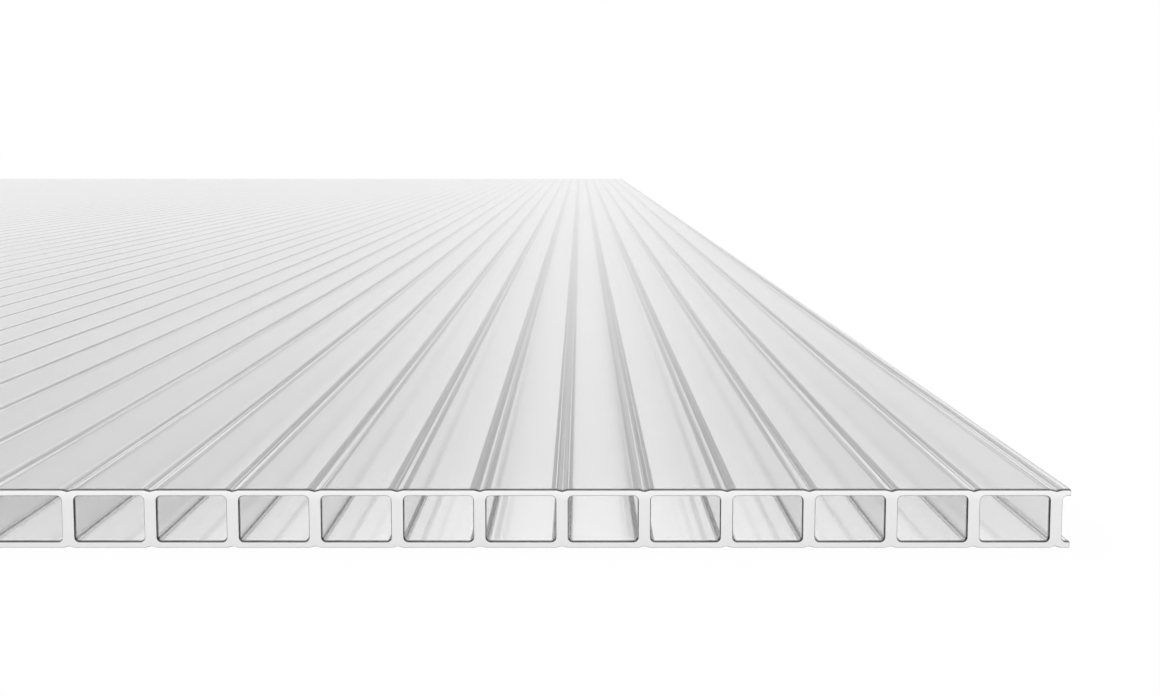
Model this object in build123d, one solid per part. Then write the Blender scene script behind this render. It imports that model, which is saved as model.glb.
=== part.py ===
from build123d import *
import os

# Twin-wall polycarbonate sheet, extruded in one piece, in millimetres.
# X runs across the webs, Y along the flutes, and Z up through the thickness.
# The origin is at the middle of the underside.

# Driving dimensions
sheet_length = 2500.0  # along the flutes, from one sawn end to the other
sheet_thickness = 8.0
web_pitch = 11.0  # from the middle of one web to the middle of the next
flute_count = 95
web_thickness = 1.8
skin_thickness = 0.95  # top skin and bottom skin alike
flute_corner_radius = 0.55
lip_reach = 2.0  # both skins stand out this far past the middle of the outermost web
lip_corner_radius = 0.15
groove_width = 1.5  # shallow V groove along every web, in both skins
groove_depth = 0.2

# Sizes worked out from those
half_thickness = sheet_thickness / 2
last_web = flute_count * web_pitch / 2  # X of the middle of the outermost web
flute_width = web_pitch - web_thickness
flute_height = sheet_thickness - 2 * skin_thickness


def spread(count):
    """Places of this many things, one pitch apart, with the middle of the row at zero."""
    return [(i - (count - 1) / 2) * web_pitch for i in range(count)]


def groove(web):
    """One groove: two straight arms that meet in a sharp line over the middle of the web."""
    left = (web - groove_width / 2, half_thickness)
    bottom = (web, half_thickness - groove_depth)
    right = (web + groove_width / 2, half_thickness)
    return [Line(left, bottom), Line(bottom, right)]


def skin_face():
    """Outer face of the top skin, from the first groove to the last, in the section plane."""
    webs = spread(flute_count + 1)
    grooves = [edge for web in webs for edge in groove(web)]
    flats = [
        Line((web + groove_width / 2, half_thickness), (following - groove_width / 2, half_thickness))
        for web, following in zip(webs, webs[1:])
    ]
    return grooves + flats


def side_channel():
    """Right side of the section: the two lips, and the outermost web between them."""
    from_x = last_web + groove_width / 2
    tip_x = last_web + lip_reach
    web_x = last_web + web_thickness / 2
    inner_y = flute_height / 2
    corners = [
        (from_x, half_thickness),
        (tip_x, half_thickness),
        (tip_x, inner_y),
        (web_x, inner_y),
        (web_x, -inner_y),
        (tip_x, -inner_y),
        (tip_x, -half_thickness),
        (from_x, -half_thickness),
    ]
    lip, inside = lip_corner_radius, flute_corner_radius
    return FilletPolyline(corners, radius=[lip, lip, inside, inside, lip, lip]).edges()


def section():
    """The whole cross-section, centred on the middle of the thickness."""
    top = skin_face()
    bottom = [edge.mirror(Plane.XZ) for edge in top]
    right = side_channel()
    left = [edge.mirror(Plane.YZ) for edge in right]
    outline = make_face(Curve() + [*top, *bottom, *right, *left])
    flute = RectangleRounded(flute_width, flute_height, flute_corner_radius)
    return outline - [Pos(x, 0) * flute for x in spread(flute_count)]


def sheet():
    """The section carried along the flutes, from the back end to the front one."""
    back_end = Plane(origin=(0, sheet_length / 2, half_thickness), x_dir=(1, 0, 0), z_dir=(0, -1, 0))
    return extrude(back_end * section(), sheet_length)


os.makedirs("parts", exist_ok=True)
export_step(sheet(), "parts/sheet.step")
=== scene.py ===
"""Clear twin-wall polycarbonate sheet, lying flat with its sawn end towards the camera.

X runs across the webs, Y along the flutes and Z up. Lengths are metres unless a name says otherwise.
"""

import logging
import math
from dataclasses import dataclass, field
from enum import Enum

import bpy
import numpy as np
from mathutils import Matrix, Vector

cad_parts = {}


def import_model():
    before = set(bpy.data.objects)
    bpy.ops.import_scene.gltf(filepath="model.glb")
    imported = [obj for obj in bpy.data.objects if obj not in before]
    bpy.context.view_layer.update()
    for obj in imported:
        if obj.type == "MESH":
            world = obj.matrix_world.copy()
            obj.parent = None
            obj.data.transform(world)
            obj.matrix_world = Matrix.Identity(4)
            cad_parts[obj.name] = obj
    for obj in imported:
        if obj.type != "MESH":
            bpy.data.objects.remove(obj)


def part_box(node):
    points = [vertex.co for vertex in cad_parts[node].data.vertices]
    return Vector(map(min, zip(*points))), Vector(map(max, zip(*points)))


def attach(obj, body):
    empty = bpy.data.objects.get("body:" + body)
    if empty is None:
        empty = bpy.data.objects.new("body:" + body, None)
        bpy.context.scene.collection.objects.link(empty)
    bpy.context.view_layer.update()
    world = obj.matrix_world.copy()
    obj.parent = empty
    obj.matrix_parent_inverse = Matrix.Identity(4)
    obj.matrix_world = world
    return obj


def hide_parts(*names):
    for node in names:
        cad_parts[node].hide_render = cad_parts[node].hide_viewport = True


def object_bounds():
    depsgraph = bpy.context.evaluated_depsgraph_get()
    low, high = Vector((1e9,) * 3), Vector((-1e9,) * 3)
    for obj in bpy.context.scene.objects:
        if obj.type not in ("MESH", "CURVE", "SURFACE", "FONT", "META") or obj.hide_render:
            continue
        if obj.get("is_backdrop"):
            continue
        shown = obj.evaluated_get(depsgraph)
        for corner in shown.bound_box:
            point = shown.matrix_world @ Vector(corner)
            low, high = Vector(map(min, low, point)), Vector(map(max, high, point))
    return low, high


MM = 0.001
WHITE = "ffffff"
PHOTO_WIDTH = 1160  # pixels
FINER_OCTAVES = 1.0  # of noise, on top of the main lines of a relief

log = logging.getLogger("multiwall_sheet")


class Side(Enum):
    """The two sawn ends of the sheet, by the way that each faces along Y."""

    FRONT = -1
    BACK = 1


class Surface(Enum):
    """How a face of the sheet was made, which is also its material index on the mesh."""

    EXTRUDED = 0
    SAWN = 1


def linear(hex_colour: str) -> tuple[float, float, float, float]:
    """Turns an sRGB colour into the linear one that shaders take, with the numbers of the sRGB standard.

    A share under 0.04045 is divided by 12.92, and any other goes up the standard's curve of power 2.4.

    Args:
        hex_colour: Six hex digits, such as "dfe2e2".

    Returns:
        Linear red, green and blue, and an alpha of 1.
    """
    coded = [int(hex_colour[i : i + 2], 16) / 255 for i in (0, 2, 4)]
    parts = [c / 12.92 if c <= 0.04045 else ((c + 0.055) / 1.055) ** 2.4 for c in coded]
    return (*parts, 1.0)


def add_node(
    tree: bpy.types.NodeTree,
    kind: str,
    links: dict[str | int, bpy.types.NodeSocket] | None = None,
    **settings: object,
) -> bpy.types.Node:
    """Adds a shader node.

    Args:
        tree: The node tree that takes it.
        kind: The node's type name.
        links: Input name or number to the output socket that feeds it.
        settings: Values by input name with _ for a space, or else by property name.

    Returns:
        The new node.
    """
    node = tree.nodes.new(kind)
    for name, value in settings.items():
        socket = node.inputs.get(name.replace("_", " "))
        if socket is None or hasattr(node, name):
            setattr(node, name, value)
        else:
            socket.default_value = value
    for name, source in (links or {}).items():
        tree.links.new(source, node.inputs[name])
    return node


def new_material(name: str) -> tuple[bpy.types.Material, bpy.types.NodeTree]:
    """Makes an empty node material.

    Args:
        name: The real material's name.

    Returns:
        The material and its node tree, with nothing in it.
    """
    material = bpy.data.materials.new(name)
    material.use_nodes = True
    material.node_tree.nodes.clear()
    return material, material.node_tree


def relief(
    tree: bpy.types.NodeTree, cell: tuple[float, float, float], turn_deg: float, depth: float
) -> bpy.types.Node:
    """Adds a bump of soft random lines or grains.

    The height is a noise whose grains are as long each way as the cell says, after a turn about Y.

    Args:
        tree: The material's node tree.
        cell: Size of a grain along X, Y and Z.
        turn_deg: Turn of the pattern about Y.
        depth: Height from the lowest to the highest places.

    Returns:
        The bump node, with a Normal output.
    """
    place = add_node(tree, "ShaderNodeTexCoord")
    grain = add_node(
        tree,
        "ShaderNodeMapping",
        links={"Vector": place.outputs["Object"]},
        vector_type="TEXTURE",
        Rotation=(0.0, math.radians(turn_deg), 0.0),
        Scale=cell,
    )
    noise = add_node(
        tree,
        "ShaderNodeTexNoise",
        links={"Vector": grain.outputs["Vector"]},
        Scale=1.0,
        Detail=FINER_OCTAVES,
    )
    return add_node(
        tree, "ShaderNodeBump", links={"Height": noise.outputs["Fac"]}, Strength=1.0, Distance=depth
    )


Run = tuple[np.ndarray, np.ndarray]
"""Points across and up, one row each, and the way out of the plastic at each."""


@dataclass(frozen=True)
class Loop:
    """A closed line in the section plane, as points with the way that each segment faces at both ends.

    Attributes:
        points: Across and up, one row a point.
        leaving: Facing of the segment that starts at each point, out of the plastic.
        arriving: Facing of that same segment at its far end.
    """

    points: np.ndarray
    leaving: np.ndarray
    arriving: np.ndarray

    @property
    def inset(self) -> np.ndarray:
        """Way into the plastic at each point, long enough to draw in both segments there by one unit.

        It is minus the sum of the two facings, over one more than their dot product.

        Returns:
            Across and up, one row a point.
        """
        before = np.roll(self.arriving, 1, axis=0)
        both = before + self.leaving
        return -both / (1 + (before * self.leaving).sum(axis=1, keepdims=True))


def straight(start: tuple[float, float], end: tuple[float, float], turn: int, steps: int = 1) -> Run:
    """A straight run in equal steps: its facing is its direction turned a quarter.

    Args:
        start: Across and up.
        end: Across and up.
        turn: 1 where the plastic lies on the right of the run, or -1 where it lies on the left.
        steps: Number of segments.

    Returns:
        Points and facings.
    """
    first, last = np.array(start), np.array(end)
    points = first + np.linspace(0, 1, steps + 1)[:, None] * (last - first)
    along = (last - first) / np.linalg.norm(last - first)
    facing = turn * np.array([-along[1], along[0]])
    return points, np.repeat(facing[None], steps + 1, axis=0)


def round_run(
    centre: tuple[float, float], radius: float, first_deg: float, last_deg: float, steps: int, hollow: bool
) -> Run:
    """An arc: centre plus radius times the cosine and sine of an angle that goes evenly from first to last.

    Args:
        centre: Across and up.
        radius: Of the arc.
        first_deg: Angle at the start.
        last_deg: Angle at the end.
        steps: Number of segments.
        hollow: True where the air is on the centre's side.

    Returns:
        Points and facings.
    """
    angle = np.radians(np.linspace(first_deg, last_deg, steps + 1))
    spoke = np.stack([np.cos(angle), np.sin(angle)], axis=1)
    return np.array(centre) + radius * spoke, -spoke if hollow else spoke


def join_runs(runs: list[Run]) -> Loop:
    """Joins runs into one closed loop.

    Args:
        runs: Each ends where the next one starts, and the last ends where the first one starts.

    Returns:
        The loop.
    """
    return Loop(
        points=np.concatenate([points[:-1] for points, _ in runs]),
        leaving=np.concatenate([facing[:-1] for _, facing in runs]),
        arriving=np.concatenate([facing[1:] for _, facing in runs]),
    )


@dataclass(frozen=True)
class TwinWallSection:
    """Cross-section of the extrusion: two skins, webs between them, and an open channel down each side."""

    web_pitch: float = 11 * MM
    web_thickness: float = 1.8 * MM
    skin_thickness: float = 0.95 * MM
    flute_corner: float = 0.55 * MM
    lip_reach: float = 2 * MM
    lip_corner: float = 0.15 * MM
    groove_width: float = 1.5 * MM
    groove_depth: float = 0.2 * MM
    thickness: float = 8 * MM
    flutes: int = 95
    arc_steps: int = 6

    def flute_loop(self) -> Loop:
        """The wall of a flute whose middle is at zero, counter-clockwise from the foot of its left wall.

        A rectangle with round corners: four quarter arcs about centres one radius inside the corners, and
        the four straight walls between them.

        Returns:
            The loop.
        """
        radius = self.flute_corner
        wide = (self.web_pitch - self.web_thickness) / 2 - radius
        high = self.thickness / 2 - self.skin_thickness - radius
        corners = [(-wide, -high, 180), (wide, -high, 270), (wide, high, 0), (-wide, high, 90)]
        runs = []
        for place, (x, z, first) in enumerate(corners):
            arc = round_run((x, z), radius, first, first + 90, self.arc_steps, hollow=True)
            *following_centre, following_first = corners[(place + 1) % len(corners)]
            angle = np.radians(following_first)
            wall_end = np.array(following_centre) + radius * np.array([np.cos(angle), np.sin(angle)])
            runs += [arc, straight(arc[0][-1], wall_end, 1)]
        return join_runs(runs)

    def groove_half(self, web: float, side: int) -> Run:
        """Half of the V groove under a web: a straight arm between the underside and the web's middle.

        It has as many steps as a flute's corner, so that the sawn face joins them point for point.

        Args:
            web: Middle of the web, across.
            side: 1 for the arm on its right, which falls to the face, or -1 for the one that rises from it.

        Returns:
            Points and facings of a run towards +X.
        """
        face = -self.thickness / 2
        middle, edge = (web, face + self.groove_depth), (web + side * self.groove_width / 2, face)
        start, end = (middle, edge) if side > 0 else (edge, middle)
        return straight(start, end, -1, self.arc_steps)

    def underside_runs(self) -> list[Run]:
        """The underside from the middle of the first web to the middle of the last.

        Returns:
            Half a groove, a flat and half a groove for each flute.
        """
        webs = (np.arange(self.flutes + 1) - self.flutes / 2) * self.web_pitch
        half, face = self.groove_width / 2, -self.thickness / 2
        runs = []
        for left, right in zip(webs, webs[1:]):
            runs.append(self.groove_half(left, 1))
            runs.append(straight((left + half, face), (right - half, face), -1))
            runs.append(self.groove_half(right, -1))
        return runs

    def right_side_runs(self) -> list[Run]:
        """The right side from the middle of the groove under the last web to the middle of the one over it.

        Returns:
            Half a groove, the lower lip, the channel, the upper lip and half a groove.
        """
        web = self.flutes * self.web_pitch / 2
        half, face = self.groove_width / 2, self.thickness / 2
        tip, wall = web + self.lip_reach, web + self.web_thickness / 2
        inner, lip, inside = face - self.skin_thickness, self.lip_corner, self.flute_corner
        steps = self.arc_steps
        return [
            self.groove_half(web, 1),
            straight((web + half, -face), (tip - lip, -face), -1),
            round_run((tip - lip, -face + lip), lip, -90, 0, steps, hollow=False),
            straight((tip, -face + lip), (tip, -inner - lip), -1),
            round_run((tip - lip, -inner - lip), lip, 0, 90, steps, hollow=False),
            straight((tip - lip, -inner), (wall + inside, -inner), -1),
            round_run((wall + inside, -inner + inside), inside, 270, 180, steps, hollow=True),
            straight((wall, -inner + inside), (wall, inner - inside), -1),
            round_run((wall + inside, inner - inside), inside, 180, 90, steps, hollow=True),
            straight((wall + inside, inner), (tip - lip, inner), -1),
            round_run((tip - lip, inner + lip), lip, -90, 0, steps, hollow=False),
            straight((tip, inner + lip), (tip, face - lip), -1),
            round_run((tip - lip, face - lip), lip, 0, 90, steps, hollow=False),
            straight((tip - lip, face), (web + half, face), -1),
            straight((web + half, face), (web, face - self.groove_depth), -1, steps),
        ]

    def outline_loop(self) -> Loop:
        """The outside of the section, counter-clockwise from the groove under the first web.

        The half that goes along the underside and up the right side, and then the same half turned about
        the middle of the section.

        Returns:
            The loop.
        """
        half = self.underside_runs() + self.right_side_runs()
        return join_runs(half + [(-points, -facing) for points, facing in half])


@dataclass(frozen=True)
class Stations:
    """Where a loop is carried to along the sheet, one row a station from the front end to the back.

    Attributes:
        inset: How far the loop lies inside its own place, into the plastic.
        place: Y of the station.
        share: The facing's share across the sheet and along it.
    """

    inset: np.ndarray
    place: np.ndarray
    share: np.ndarray


@dataclass(frozen=True)
class SawnRim:
    """The edge round a sawn end, drawn in a little by the saw's heat: a quarter of a long, shallow ellipse.

    It draws in by less than the section's smallest outer corner radius, so that no corner folds over
    itself.

    Attributes:
        across: How far it draws in at the end face.
        along: How far from the end face it starts.
        steps: Number of segments.
    """

    across: float = 0.145 * MM
    along: float = 0.8 * MM
    steps: int = 4

    def stations(self, length: float) -> Stations:
        """Stations from the front end's face, over its rim, straight to the back end's rim and over that.

        With an angle from 90 degrees at the end face to 0 at the wall, the inset is across times one less
        its cosine, and the way in from the end is along times one less its sine.

        Args:
            length: Of the sheet.

        Returns:
            The stations.
        """
        angle = np.radians(np.linspace(90, 0, self.steps + 1))
        inset = self.across * (1 - np.cos(angle))
        reach = length / 2 - self.along * (1 - np.sin(angle))
        share = np.stack([self.along * np.cos(angle), self.across * np.sin(angle)], axis=1)
        share /= np.linalg.norm(share, axis=1, keepdims=True)
        return Stations(
            inset=np.concatenate([inset, inset[::-1]]),
            place=np.concatenate([-reach, reach[::-1]]),
            share=np.concatenate([share * (1, -1), share[::-1]]),
        )


@dataclass
class Patchwork:
    """Vertices, faces and corner facings gathered for one mesh."""

    vertices: list[np.ndarray] = field(default_factory=list)
    faces: list[np.ndarray] = field(default_factory=list)
    facings: list[np.ndarray] = field(default_factory=list)
    surfaces: list[np.ndarray] = field(default_factory=list)
    count: int = 0

    def add_vertices(self, places: np.ndarray) -> np.ndarray:
        """Adds a grid of points.

        Args:
            places: Points, with X, Y and Z along the last axis.

        Returns:
            Their vertex numbers, in the same grid.
        """
        numbers = self.count + np.arange(places[..., 0].size).reshape(places.shape[:-1])
        self.vertices.append(places.reshape(-1, 3))
        self.count += numbers.size
        return numbers

    def add_faces(self, corners: np.ndarray, facings: np.ndarray, surface: Surface) -> None:
        """Adds quads.

        Args:
            corners: Four vertex numbers along the last axis.
            facings: The way that each of those corners faces.
            surface: How all of them were made.
        """
        self.faces.append(corners.reshape(-1, 4))
        self.facings.append(facings.reshape(-1, 4, 3))
        self.surfaces.append(np.full(corners[..., 0].size, surface.value, np.int32))

    def build(self, name: str) -> bpy.types.Object:
        """Puts everything into one mesh object at the origin.

        Args:
            name: Of the object and its mesh.

        Returns:
            The object.
        """
        mesh = bpy.data.meshes.new(name)
        mesh.from_pydata(np.concatenate(self.vertices), [], np.concatenate(self.faces))
        mesh.polygons.foreach_set("material_index", np.concatenate(self.surfaces))
        mesh.polygons.foreach_set("use_smooth", np.ones(len(mesh.polygons), bool))
        mesh.normals_split_custom_set(np.concatenate(self.facings).reshape(-1, 3))
        mesh.update()
        piece = bpy.data.objects.new(name, mesh)
        bpy.context.scene.collection.objects.link(piece)
        return piece


def carry(
    work: Patchwork, loop: Loop, across: np.ndarray, rise: float, stations: Stations, hollow: bool
) -> np.ndarray:
    """Carries a loop along Y and adds the walls that it sweeps.

    The point at (i, j) is the loop's point i, moved into the plastic by station j's inset, at station j's Y.

    Args:
        work: Takes the vertices and faces.
        loop: The line that is carried.
        across: X of each copy of the loop.
        rise: Height of the loop's zero.
        stations: Where it is carried to.
        hollow: True for a flute, False for the outside.

    Returns:
        Vertex numbers by copy, point and station.
    """
    share = stations.share
    flat = loop.points[:, None, :] + stations.inset[None, :, None] * loop.inset[:, None, :]
    places = np.empty((across.size, *flat.shape[:2], 3))
    places[..., 0] = across[:, None, None] + flat[None, ..., 0]
    places[..., 1] = stations.place
    places[..., 2] = rise + flat[None, ..., 1]
    numbers = work.add_vertices(places)
    following = np.roll(numbers, -1, axis=1)
    corners = np.stack(
        [numbers[..., :-1], following[..., :-1], following[..., 1:], numbers[..., 1:]], axis=-1
    )

    def turned(facing: np.ndarray) -> np.ndarray:
        """Facing of every point at every station: its share across, and the station's share along Y.

        Args:
            facing: Across and up, one row a point.

        Returns:
            X, Y and Z by point and station.
        """
        full = np.empty((facing.shape[0], share.shape[0], 3))
        full[..., 0] = facing[:, None, 0] * share[None, :, 0]
        full[..., 1] = share[None, :, 1]
        full[..., 2] = facing[:, None, 1] * share[None, :, 0]
        return full

    near, far = turned(loop.leaving), turned(loop.arriving)
    facings = np.stack([near[:, :-1], far[:, :-1], far[:, 1:], near[:, 1:]], axis=-2)
    facings = np.broadcast_to(facings, (across.size, *facings.shape))
    if not hollow:
        corners, facings = corners[..., ::-1], facings[..., ::-1, :]
    work.add_faces(corners, facings, Surface.EXTRUDED)
    return numbers


def close_ring(work: Patchwork, inner: np.ndarray, outer: np.ndarray, side: Side, closed: bool) -> None:
    """Adds a sawn face between two lines of vertices that run counter-clockwise side by side.

    Args:
        work: Takes the faces.
        inner: Vertex numbers along the flute's side, by copy and point.
        outer: As many along the outside.
        side: Which end of the sheet it closes.
        closed: True if both lines run back to their start.
    """
    if closed:
        inner, outer = (np.concatenate([line, line[:, :1]], axis=1) for line in (inner, outer))
    corners = np.stack([inner[:, :-1], inner[:, 1:], outer[:, 1:], outer[:, :-1]], axis=-1)
    if side is Side.FRONT:
        corners = corners[..., ::-1]
    facings = np.zeros((*corners.shape, 3))
    facings[..., 1] = side.value
    work.add_faces(corners, facings, Surface.SAWN)


@dataclass(frozen=True)
class ExtrudedPolycarbonate:
    """Clear polycarbonate as it leaves the extrusion die: it refracts, and its gloss is a little soft.

    Attributes:
        skin_tint: Of the skins, next to clear. The calibrating plates polish them.
        painted_web_shade_tint: Of the webs' sides, a faint grey painted on as shade, chosen for the
            likeness.
        ior: Refractive index of polycarbonate.
        roughness: Of skins and webs, which softens what shows through them.
        depth_colour: What the plastic leaves of the light.
        depth_density: How fast it takes the rest, a metre: faster than real clear plastic, so that the band
            over each web is as grey as it should be.
        die_line: Width, length and height of a die line. Real ones are under 0.1 mm wide, too fine to show
            in the render, so these are as coarse as they need to be.
        die_line_depth: Height of the relief, which gives only a slight waver in the gloss.
    """

    name: str = "extruded_polycarbonate"
    skin_tint: str = "fdfdfd"
    painted_web_shade_tint: str = "e3e3e3"
    ior: float = 1.585
    roughness: float = 0.05
    depth_colour: str = "cacaca"
    depth_density: float = 24.0
    die_line: tuple[float, float, float] = (0.5 * MM, 500 * MM, 0.5 * MM)
    die_line_depth: float = 0.0005 * MM

    def tint(self, tree: bpy.types.NodeTree) -> bpy.types.NodeSocket:
        """Adds the tint, which turns from the skins' to the webs' painted shade as a face turns from level
        to upright.

        Args:
            tree: The material's node tree.

        Returns:
            The colour socket.
        """
        surface = add_node(tree, "ShaderNodeNewGeometry")
        facing = add_node(tree, "ShaderNodeSeparateXYZ", links={"Vector": surface.outputs["Normal"]})
        # The webs' upright faces take a grey tint that paints shade on them
        web_shade_mask = add_node(tree, "ShaderNodeMath", links={0: facing.outputs["X"]}, operation="ABSOLUTE")
        mixed = add_node(tree, "ShaderNodeMix", links={"Factor": web_shade_mask.outputs[0]}, data_type="RGBA")
        mixed.inputs["A"].default_value = linear(self.skin_tint)
        mixed.inputs["B"].default_value = linear(self.painted_web_shade_tint)
        return mixed.outputs["Result"]

    def polish(self, tree: bpy.types.NodeTree, rim_from: float) -> bpy.types.NodeSocket:
        """Adds the roughness, which falls to nothing on the rim that the saw's heat has glazed.

        Args:
            tree: The material's node tree.
            rim_from: Distance along Y from the middle of the sheet to a rim.

        Returns:
            The value socket.
        """
        place = add_node(tree, "ShaderNodeTexCoord")
        parts = add_node(tree, "ShaderNodeSeparateXYZ", links={"Vector": place.outputs["Object"]})
        reach = add_node(tree, "ShaderNodeMath", links={0: parts.outputs["Y"]}, operation="ABSOLUTE")
        inside = add_node(tree, "ShaderNodeMath", links={0: reach.outputs[0]}, operation="LESS_THAN")
        inside.inputs[1].default_value = rim_from
        rough = add_node(tree, "ShaderNodeMath", links={0: inside.outputs[0]}, operation="MULTIPLY")
        rough.inputs[1].default_value = self.roughness
        return rough.outputs[0]

    def material(self, rim_from: float) -> bpy.types.Material:
        """Refracting plastic: each face takes a little of the light, and long ways through it more.

        Args:
            rim_from: Distance along Y from the middle of the sheet to a rim.

        Returns:
            The material.
        """
        material, tree = new_material(self.name)
        lines = relief(tree, self.die_line, 0.0, self.die_line_depth)
        shader = add_node(
            tree,
            "ShaderNodeBsdfPrincipled",
            links={
                "Base Color": self.tint(tree),
                "Roughness": self.polish(tree, rim_from),
                "Normal": lines.outputs["Normal"],
            },
            IOR=self.ior,
            Transmission_Weight=1.0,
        )
        depth = add_node(
            tree, "ShaderNodeVolumeAbsorption", Color=linear(self.depth_colour), Density=self.depth_density
        )
        add_node(
            tree,
            "ShaderNodeOutputMaterial",
            links={"Surface": shader.outputs["BSDF"], "Volume": depth.outputs["Volume"]},
        )
        return material


@dataclass(frozen=True)
class SawnPolycarbonate:
    """Polycarbonate cut by a fine saw: a frosted white face with faint slanting marks from the teeth.

    Attributes:
        colour: Of the webs' and the lower skin's ends.
        painted_top_light_colour: Of the upper skin's end, painted paler as light that comes through its top
            face.
        painted_top_light_from: Height at which that painted light starts, and at which it is complete.
        ior: Refractive index of polycarbonate.
        roughness: Of the cut, which shows no clear reflection.
        saw_mark: Width, depth and height of a saw mark. A fine saw's are about 0.1 mm wide, too fine to
            show in the render, so these are drawn coarser.
        saw_slant_deg: How far they lean from upright.
        saw_mark_depth: Height of the relief.
    """

    name: str = "sawn_polycarbonate"
    colour: str = "eaeaea"
    painted_top_light_colour: str = "f5f5f5"
    painted_top_light_from: tuple[float, float] = (6.4 * MM, 7.6 * MM)
    ior: float = 1.585
    roughness: float = 0.55
    saw_mark: tuple[float, float, float] = (0.25 * MM, 1 * MM, 4 * MM)
    saw_slant_deg: float = 12.0
    saw_mark_depth: float = 0.01 * MM

    def material(self) -> bpy.types.Material:
        """The cut scatters light, so it is pale and takes no clear reflection.

        Returns:
            The material.
        """
        material, tree = new_material(self.name)
        place = add_node(tree, "ShaderNodeTexCoord")
        parts = add_node(tree, "ShaderNodeSeparateXYZ", links={"Vector": place.outputs["Object"]})
        # Painted light: the upper skin's end is mixed towards a paler colour by height
        start, end = self.painted_top_light_from
        upper = add_node(
            tree, "ShaderNodeMapRange", links={"Value": parts.outputs["Z"]}, From_Min=start, From_Max=end
        )
        colour = add_node(
            tree, "ShaderNodeMix", links={"Factor": upper.outputs["Result"]}, data_type="RGBA"
        )
        colour.inputs["A"].default_value = linear(self.colour)
        colour.inputs["B"].default_value = linear(self.painted_top_light_colour)
        marks = relief(tree, self.saw_mark, self.saw_slant_deg, self.saw_mark_depth)
        shader = add_node(
            tree,
            "ShaderNodeBsdfPrincipled",
            links={"Base Color": colour.outputs["Result"], "Normal": marks.outputs["Normal"]},
            Roughness=self.roughness,
            IOR=self.ior,
        )
        add_node(tree, "ShaderNodeOutputMaterial", links={"Surface": shader.outputs["BSDF"]})
        return material


@dataclass
class MultiwallSheet:
    """The whole sheet, one extrusion, which stands for the frame's one node."""

    section: TwinWallSection = field(default_factory=TwinWallSection)
    rim: SawnRim = field(default_factory=SawnRim)
    skins: ExtrudedPolycarbonate = field(default_factory=ExtrudedPolycarbonate)
    ends: SawnPolycarbonate = field(default_factory=SawnPolycarbonate)
    node: str = "sheet"
    body: str = "root"
    slot: str = "clear_polycarbonate"

    def build(self) -> bpy.types.Object:
        """Builds the mesh: the outline and the flutes carried from end to end, and the sawn faces.

        Returns:
            The object, with no material yet.
        """
        low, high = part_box(self.node)
        section, work = self.section, Patchwork()
        rise = (low.z + high.z) / 2
        stations = self.rim.stations(high.y - low.y)
        centres = (np.arange(section.flutes) - (section.flutes - 1) / 2) * section.web_pitch
        flutes = carry(work, section.flute_loop(), centres, rise, stations, hollow=True)
        outline = carry(work, section.outline_loop(), np.zeros(1), rise, stations, hollow=False)[0]
        self.close_ends(work, flutes, outline)
        return work.build("multiwall_sheet")

    def close_ends(self, work: Patchwork, flutes: np.ndarray, outline: np.ndarray) -> None:
        """Adds both sawn faces: a ring round each flute, from web to web, and the lips with half a web.

        A ring joins the flute to the outside point for point, and the channel between two lips is joined
        in the same way to the lips' tips and faces. Point numbers of the outside run on from its start
        past its end.

        Args:
            work: Takes the faces.
            flutes: Vertex numbers of the flutes by copy, point and station.
            outline: Vertex numbers of the outside by point and station.
        """
        steps, count = self.section.arc_steps, self.section.flutes
        half = outline.shape[0] // 2
        # Under a flute: half a groove, the flat, and half a groove
        span = 2 * steps + 1
        below = span * np.arange(count)[:, None] + np.arange(span + 1)
        # The top runs back from the last flute to the first, half the loop further on
        above = half + span * np.arange(count)[::-1, None] + np.arange(span + 1)
        # A lip's outside has as many segments too: half a groove, its flat, and its outer corner
        lip_start = span * count
        lower_lip = lip_start + np.arange(span + 1)
        upper_lip = half - span + np.arange(span + 1)
        # The channel starts past the lower lip's tip and has as many points as both lips' outsides
        channel = lip_start + span + 1 + np.arange(2 * (span + 1))
        lips = np.concatenate([lower_lip[::-1], upper_lip[::-1]])
        for side, station in ((Side.FRONT, 0), (Side.BACK, -1)):
            line = outline[:, station]
            outer = line[np.concatenate([below, above], axis=1) % line.size]
            close_ring(work, flutes[..., station], outer, side, closed=True)
            for shift in (0, half):
                inner = line[(channel + shift) % line.size]
                outer = line[(lips + shift) % line.size]
                close_ring(work, inner[None, ::-1], outer[None, ::-1], side, closed=False)

    def dress(self, piece: bpy.types.Object) -> None:
        """Gives the piece its two materials, in the order of Surface.

        Args:
            piece: Takes them.
        """
        low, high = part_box(self.node)
        rim_from = (high.y - low.y) / 2 - self.rim.along
        for material in (self.skins.material(rim_from), self.ends.material()):
            piece.data.materials.append(material)

    def place(self) -> bpy.types.Object:
        """Builds, dresses and hands over the piece.

        Returns:
            The piece.
        """
        piece = self.build()
        self.dress(piece)
        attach(piece, self.body)
        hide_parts(self.node)
        return piece


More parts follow.
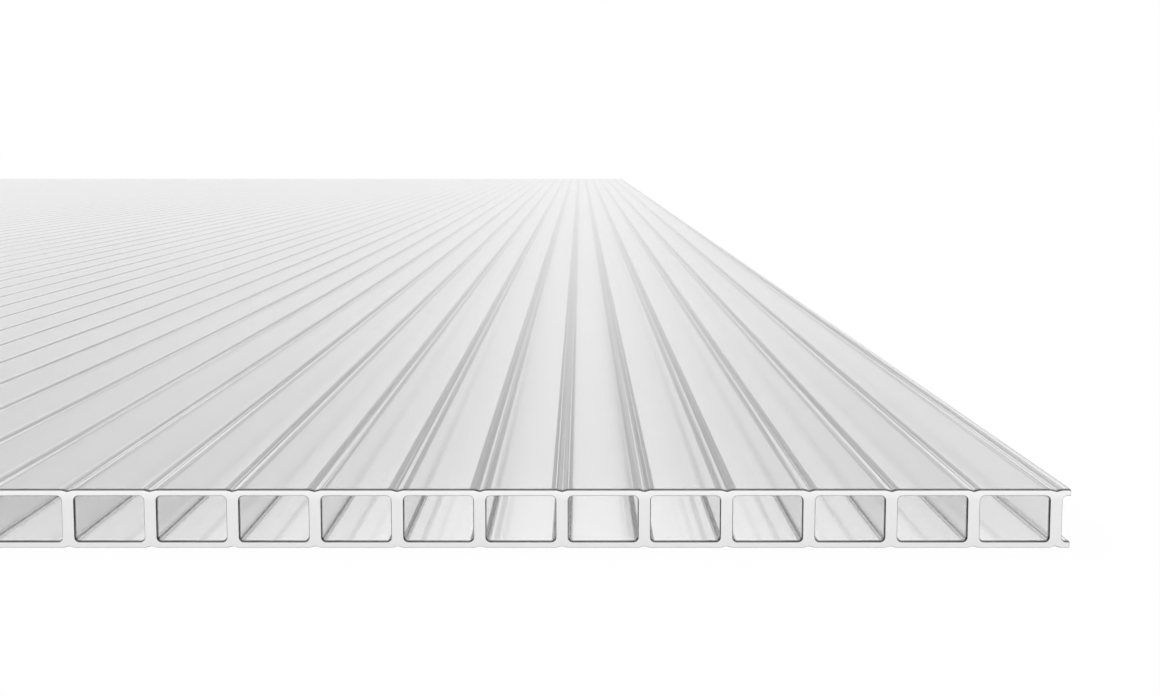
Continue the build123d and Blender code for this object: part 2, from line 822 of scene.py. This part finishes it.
@dataclass(frozen=True)
class PhotoCamera:
    """The camera of the photograph, low over the sawn end and looking along the flutes.

    Attributes:
        focal_pixels: Focal length, in pixels of the photograph.
        sensor_mm: Width of the sensor.
        across: X of the camera.
        before_end: How far it stands before the front end.
        above_top: Its height over the top skin.
        down_deg: How far it looks down.
        clip: Nearest and farthest that it sees.
    """

    focal_pixels: float = 1735.0
    sensor_mm: float = 36.0
    across: float = 458.9 * MM
    before_end: float = 227.7 * MM
    above_top: float = 45.0 * MM
    down_deg: float = 6.517
    clip: tuple[float, float] = (0.01, 100.0)

    def place(self, low: list[float], high: list[float]) -> bpy.types.Object:
        """Puts the camera before the front end.

        Args:
            low: The sheet's lowest corner.
            high: The sheet's highest corner.

        Returns:
            The camera, which is also the scene's.
        """
        data = bpy.data.cameras.new("photo_camera")
        data.sensor_width = self.sensor_mm
        data.lens = self.sensor_mm * self.focal_pixels / PHOTO_WIDTH
        data.clip_start, data.clip_end = self.clip
        camera = bpy.data.objects.new("photo_camera", data)
        bpy.context.scene.collection.objects.link(camera)
        camera.location = (self.across, low[1] - self.before_end, high[2] + self.above_top)
        camera.rotation_euler = (math.radians(90 - self.down_deg), 0.0, 0.0)
        bpy.context.scene.camera = camera
        return camera


@dataclass(frozen=True)
class Studio:
    """Plain white floor and backdrop under soft light from all round.

    Attributes:
        floor_size: Side of the square floor.
        floor_gap: How far it lies below the sheet, so that the two surfaces don't fight for one place.
        floor_colour: Of the matt floor.
        floor_white: Share of plain white in the floor as the camera sees it.
        floor_white_through: The same share for reflections and what shows through clear plastic.
        sky_white: The same share in the backdrop, for reflections and clear plastic. The camera sees only
            white there.
        sky: Sine of the elevation and strength of the light from there, from the horizon to overhead.
    """

    floor_size: float = 60.0
    floor_gap: float = 0.3 * MM
    floor_colour: str = "f4f4f4"
    floor_white: float = 0.9
    floor_white_through: float = 0.84
    sky_white: float = 0.4
    sky: tuple[tuple[float, float], ...] = (
        (0.0, 0.88), (0.1, 0.88), (0.18, 0.66), (0.3, 0.74), (0.5, 1.15), (1.0, 1.2)
    )

    def seen_share(self, tree: bpy.types.NodeTree, camera: float, plastic: float) -> bpy.types.NodeSocket:
        """Adds a value that depends on what a ray does.

        Args:
            tree: The node tree that takes the nodes.
            camera: The value for a ray from the camera.
            plastic: The value for a ray that clear plastic reflected or let through.

        Returns:
            The socket that gives it, and 0 for a ray that carries light to a matt surface.
        """
        rays = add_node(tree, "ShaderNodeLightPath")
        bounced = add_node(
            tree,
            "ShaderNodeMath",
            links={0: rays.outputs["Is Glossy Ray"], 1: rays.outputs["Is Transmission Ray"]},
            operation="MAXIMUM",
        )
        part = add_node(tree, "ShaderNodeMath", links={0: bounced.outputs[0]}, operation="MULTIPLY")
        part.inputs[1].default_value = plastic
        direct = add_node(
            tree, "ShaderNodeMath", links={0: rays.outputs["Is Camera Ray"]}, operation="MULTIPLY"
        )
        direct.inputs[1].default_value = camera
        both = add_node(
            tree, "ShaderNodeMath", links={0: part.outputs[0], 1: direct.outputs[0]}, operation="MAXIMUM"
        )
        return both.outputs[0]

    def floor(self) -> bpy.types.Object:
        """Lays the floor a hair below the sheet.

        Returns:
            The floor.
        """
        half = self.floor_size / 2
        mesh = bpy.data.meshes.new("floor")
        corners = [(x * half, y * half, -self.floor_gap) for x, y in ((-1, -1), (1, -1), (1, 1), (-1, 1))]
        mesh.from_pydata(corners, [], [(0, 1, 2, 3)])
        floor = bpy.data.objects.new("floor", mesh)
        bpy.context.scene.collection.objects.link(floor)
        material, tree = new_material("matt_white_floor")
        matt = add_node(tree, "ShaderNodeBsdfDiffuse", Color=linear(self.floor_colour))
        white = add_node(tree, "ShaderNodeEmission", Color=linear(WHITE), Strength=1.0)
        share = self.seen_share(tree, self.floor_white, self.floor_white_through)
        mixed = add_node(
            tree, "ShaderNodeMixShader", links={0: share, 1: matt.outputs[0], 2: white.outputs[0]}
        )
        add_node(tree, "ShaderNodeOutputMaterial", links={"Surface": mixed.outputs[0]})
        mesh.materials.append(material)
        floor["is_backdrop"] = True
        return floor

    def world(self) -> bpy.types.World:
        """Lights the scene from all round, most from overhead, and shows plain white to the camera.

        Returns:
            The world, which is also the scene's.
        """
        world = bpy.data.worlds.new("studio")
        world.use_nodes = True
        tree = world.node_tree
        tree.nodes.clear()
        way = add_node(tree, "ShaderNodeTexCoord")
        height = add_node(tree, "ShaderNodeSeparateXYZ", links={"Vector": way.outputs["Generated"]})
        peak = max(level for _, level in self.sky)
        ramp = add_node(tree, "ShaderNodeValToRGB", links={"Fac": height.outputs["Z"]})
        stops = ramp.color_ramp.elements
        for sine, _ in self.sky[1:-1]:
            stops.new(sine)
        for stop, (sine, level) in zip(stops, self.sky):
            stop.position = sine
            stop.color = (level / peak, level / peak, level / peak, 1.0)
        level = add_node(tree, "ShaderNodeMath", links={0: ramp.outputs["Color"]}, operation="MULTIPLY")
        level.inputs[1].default_value = peak
        strength = add_node(
            tree,
            "ShaderNodeMix",
            links={"Factor": self.seen_share(tree, 1.0, self.sky_white), "A": level.outputs[0]},
            B=1.0,
        )
        background = add_node(
            tree,
            "ShaderNodeBackground",
            links={"Strength": strength.outputs["Result"]},
            Color=linear(WHITE),
        )
        add_node(tree, "ShaderNodeOutputWorld", links={"Surface": background.outputs[0]})
        bpy.context.scene.world = world
        return world


@dataclass(frozen=True)
class LightPaths:
    """How far Cycles follows light: the webs pass it on from wall to wall dozens of times.

    Attributes:
        through_plastic: Most times that light is reflected or let through.
        matt: Most times that a matt surface scatters it.
        blur_glossy: Blur of light that clear plastic throws, which is none, so that none of it is lost.
    """

    through_plastic: int = 64
    matt: int = 4
    blur_glossy: float = 0.0

    def use(self, scene: bpy.types.Scene) -> None:
        """Sets the limits.

        Args:
            scene: The scene that takes them.
        """
        cycles = scene.cycles
        cycles.max_bounces = self.through_plastic
        cycles.glossy_bounces = self.through_plastic
        cycles.transmission_bounces = self.through_plastic
        cycles.diffuse_bounces = self.matt
        cycles.blur_glossy = self.blur_glossy


def corner_list(corners: tuple) -> list[list[float]]:
    """Turns a box's two corners into plain lists of numbers."""
    return [[float(value) for value in corner] for corner in corners]


def main() -> None:
    """Builds the scene in order: frame, camera, sheet, studio."""
    logging.basicConfig(level=logging.INFO, format="%(name)s: %(message)s")
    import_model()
    frame_box = corner_list(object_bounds())
    PhotoCamera().place(*frame_box)
    piece = MultiwallSheet().place()
    log.info("%s: %d faces", piece.name, len(piece.data.polygons))
    studio = Studio()
    log.info("%s: %.0f m square", studio.floor().name, studio.floor_size)
    log.info("%s: light from the whole sky", studio.world().name)
    scene = bpy.context.scene
    scene.view_settings.view_transform = "Standard"
    LightPaths().use(scene)


if __name__ == "__main__":
    main()
